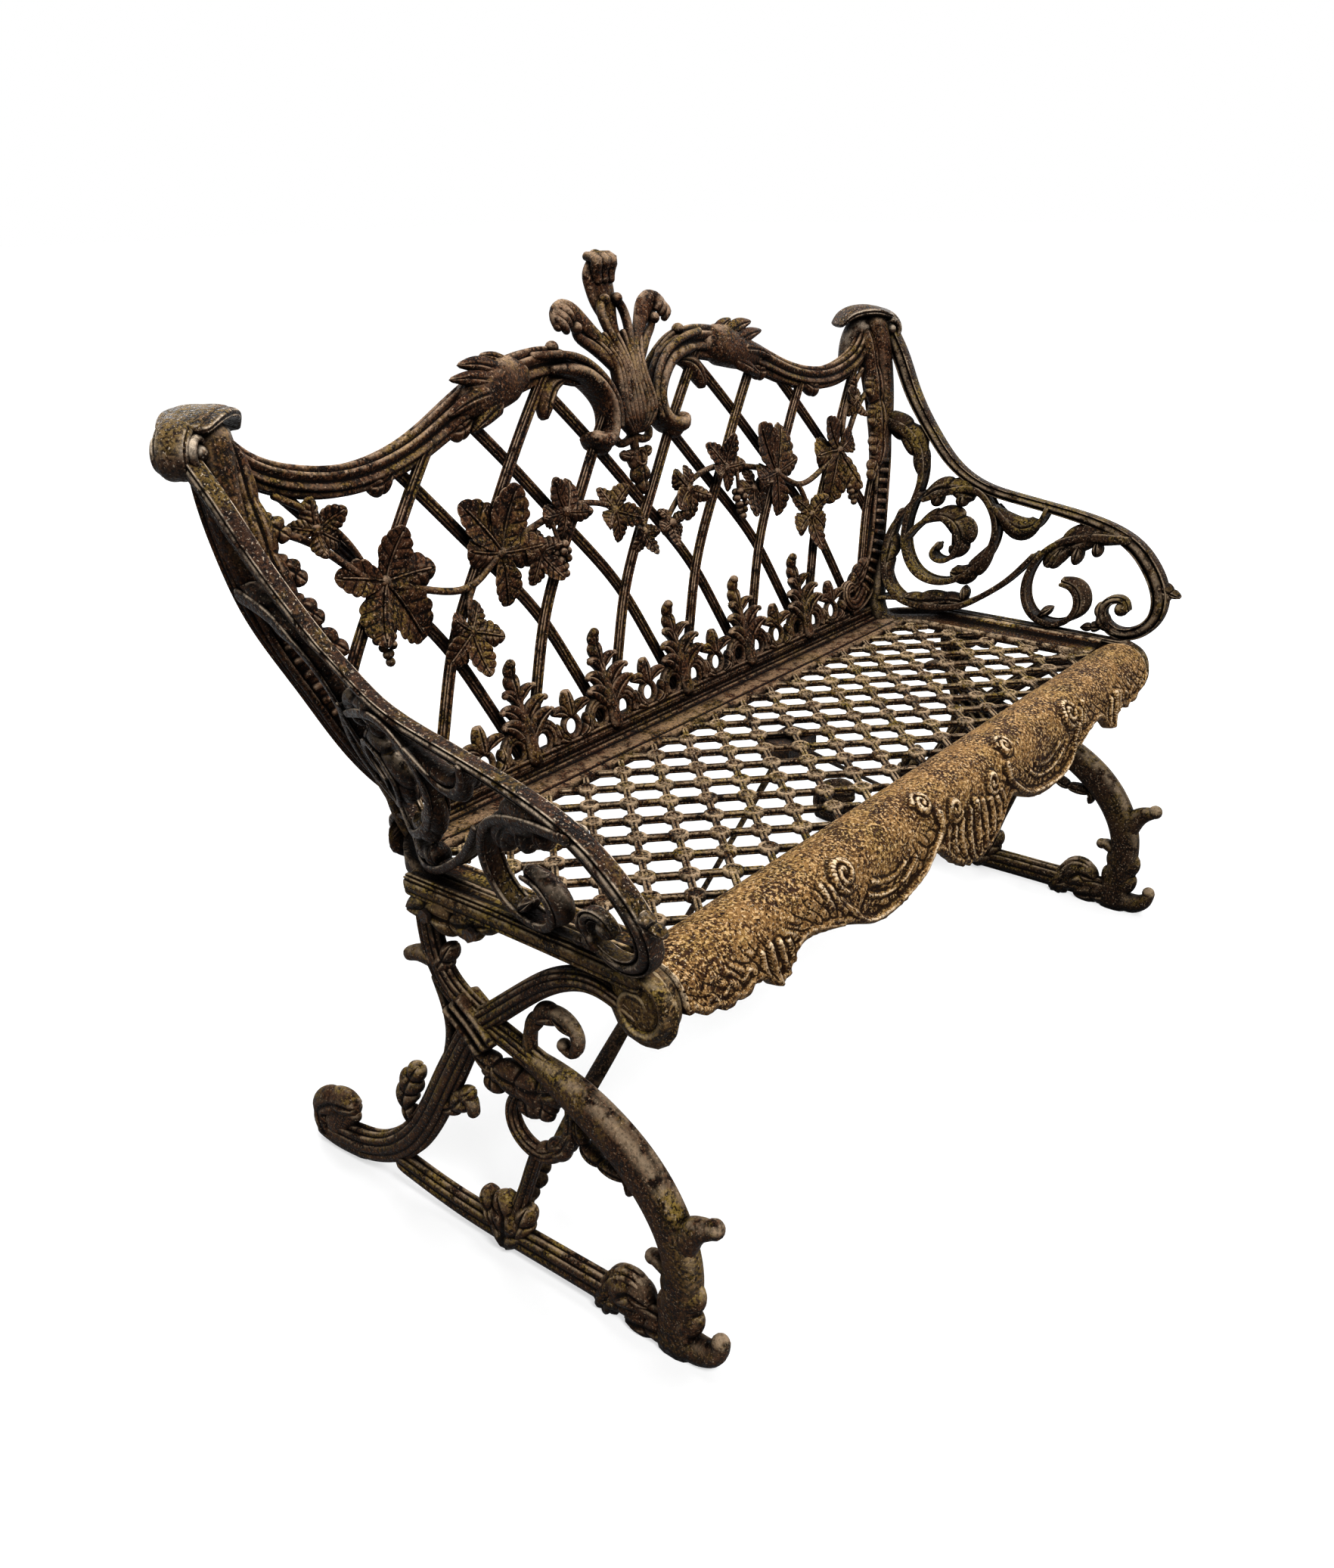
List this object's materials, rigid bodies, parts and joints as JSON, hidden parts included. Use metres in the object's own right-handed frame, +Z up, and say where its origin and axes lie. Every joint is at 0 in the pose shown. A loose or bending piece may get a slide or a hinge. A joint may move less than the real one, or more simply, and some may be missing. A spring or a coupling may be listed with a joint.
{
  "type": "cast iron garden bench",
  "caption": "Antique two-seat garden bench of openwork cast iron: scrolled ends and arms, lattice back with vine leaves and a plumed crest, pierced seat with a rolled apron.",
  "frame": {"origin": "on the floor under the middle of the bench's box", "axes": "+X along the bench from its left end to its right end as seen from the front, -Y towards the front, +Z up"},
  "size_m": [1.2276, 0.5923, 0.9346],
  "materials": {
    "end_iron": "weathered brown-black with ochre lichen",
    "arm_iron": "charcoal with grey worn edges",
    "back_iron": "rust brown, weathered",
    "seat_iron": "rust brown with ochre lichen",
    "apron_iron": "tan rust with dark pits",
    "rod_iron": "dark rust",
    "bolt_steel": "rusted steel"
  },
  "bodies": {
    "root": {"left_front_leg": "end_iron", "left_leg_arch": "end_iron", "left_back_leg": "end_iron", "left_bottom_stretcher": "end_iron", "left_seat_rail": "end_iron", "left_arm_rail": "arm_iron", "left_arm_scrolls": "arm_iron", "left_corner_cap": "arm_iron", "left_back_stile": "back_iron", "left_stay_rod": "rod_iron", "right_front_leg": "end_iron", "right_leg_arch": "end_iron", "right_back_leg": "end_iron", "right_bottom_stretcher": "end_iron", "right_seat_rail": "end_iron", "right_arm_rail": "arm_iron", "right_arm_scrolls": "arm_iron", "right_corner_cap": "arm_iron", "right_back_stile": "back_iron", "right_stay_rod": "rod_iron", "back_top_rail": "back_iron", "back_crest": "back_iron", "back_pendant": "back_iron", "back_leaf_frieze": "back_iron", "back_lattice_front": "back_iron", "back_lattice_rear": "back_iron", "back_vine_left": "back_iron", "back_vine_right": "back_iron", "back_bottom_rail": "back_iron", "seat_grille": "seat_iron", "seat_back_border": "seat_iron", "seat_left_border": "seat_iron", "seat_right_border": "seat_iron", "seat_front_roll": "apron_iron", "stay_bracket": "rod_iron", "seat_bolts": "bolt_steel", "seat_nuts": "bolt_steel", "back_bolts": "bolt_steel", "back_nuts": "bolt_steel"}
  },
  "joints": []
}
